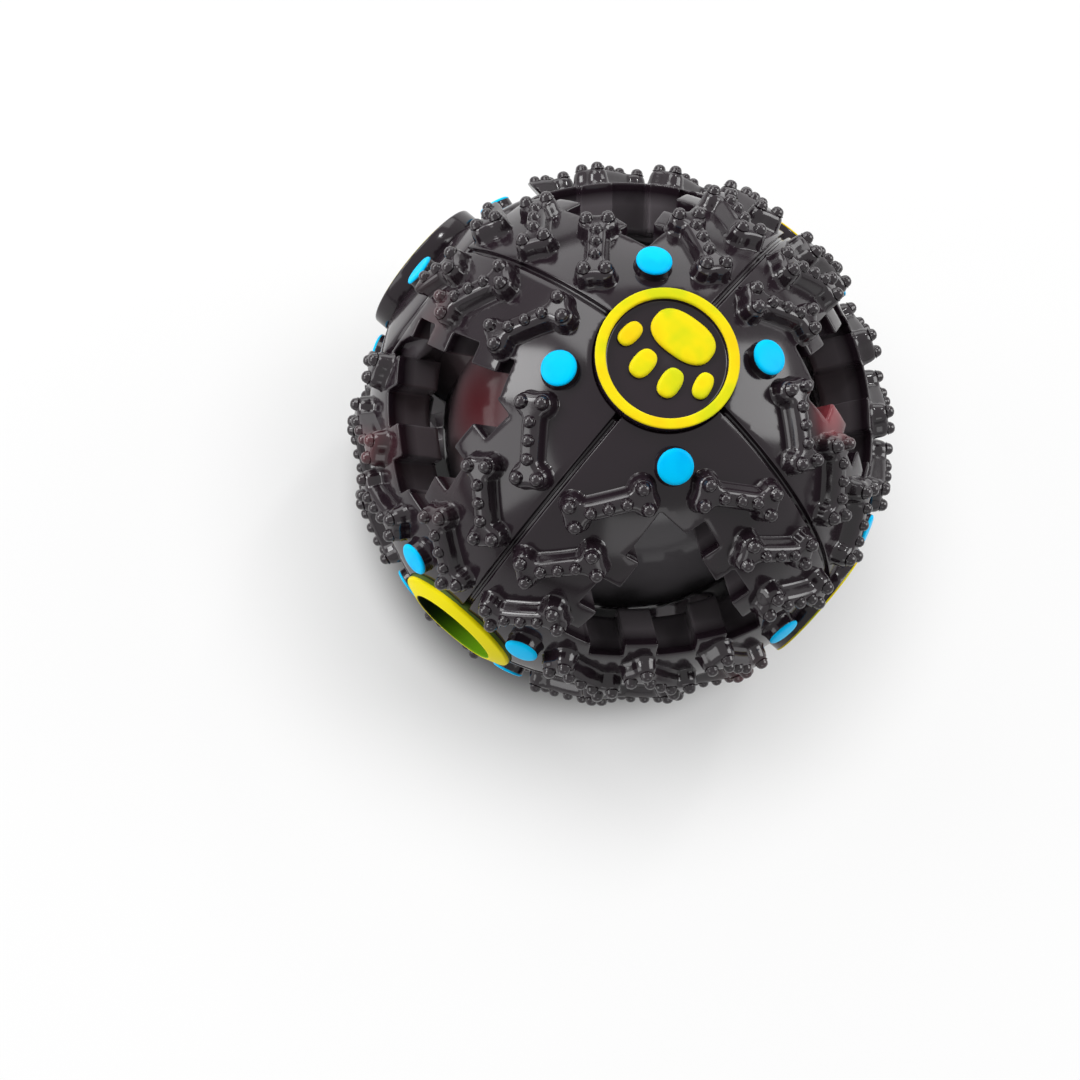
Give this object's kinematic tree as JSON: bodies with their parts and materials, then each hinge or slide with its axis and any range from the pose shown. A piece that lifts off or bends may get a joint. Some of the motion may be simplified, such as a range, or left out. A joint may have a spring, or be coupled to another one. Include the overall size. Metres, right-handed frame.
{
  "type": "treat dispensing ball",
  "caption": "Soft ball with castellated windows, raised bones and paw medallions round a hard inner treat ball, with a turning fill cap and a round treat port.",
  "frame": {"origin": "centre of the ball, which is also the centre of its box", "axes": "+Z is the top paw medallion and -Z the medallion that the ball rests on, -Y is the treat port, -X is the fill cap"},
  "size_m": [0.1146, 0.1136, 0.1136],
  "materials": {
    "shell": "glossy soft vinyl, near black",
    "chamber": "smooth moulded, near black",
    "medallion": "glossy soft vinyl, near black",
    "yellow_paint": "printed yellow paint",
    "blue_paint": "printed sky blue paint",
    "port_yellow": "yellow-green moulded plastic",
    "plug": "moulded, dark grey",
    "seal": "dull red rubber",
    "sound_case": "natural white moulded plastic",
    "weight": "plain cast weight",
    "reed": "plain brass"
  },
  "bodies": {
    "ball": {"outer_shell_upper": "shell", "outer_shell_lower": "shell", "chamber_front": "chamber", "chamber_back": "chamber", "medallion_top": "medallion", "medallion_bottom": "medallion", "medallion_right": "medallion", "medallion_back": "medallion", "medallion_ring_paint": "yellow_paint", "medallion_paw_paint": "yellow_paint", "stud_paint": "blue_paint", "port_bush": "medallion", "port_liner": "port_yellow", "sound_tube": "sound_case", "sound_tube_cap": "sound_case"},
    "seal": {"seal_ring": "seal"},
    "cap": {"fill_cap": "shell", "cap_medallion": "medallion", "cap_ring_paint": "yellow_paint", "cap_paw_paint": "yellow_paint", "cap_stud_paint": "blue_paint", "cap_plug": "plug"},
    "weight": {"sound_weight": "weight", "sound_reed": "reed"}
  },
  "joints": [
    {"name": "cap_pull", "type": "slide", "parent": "ball", "child": "seal", "axis": [-1, 0, 0], "range_m": [0, 0.05]},
    {"name": "cap_turn", "type": "hinge", "parent": "seal", "child": "cap", "pos_m": [-0.0413, 0, 0], "axis": [-1, 0, 0], "continuous": true},
    {"name": "weight_slide", "type": "slide", "parent": "ball", "child": "weight", "axis": [0, 0, 1], "range_m": [0, 0.045]}
  ]
}
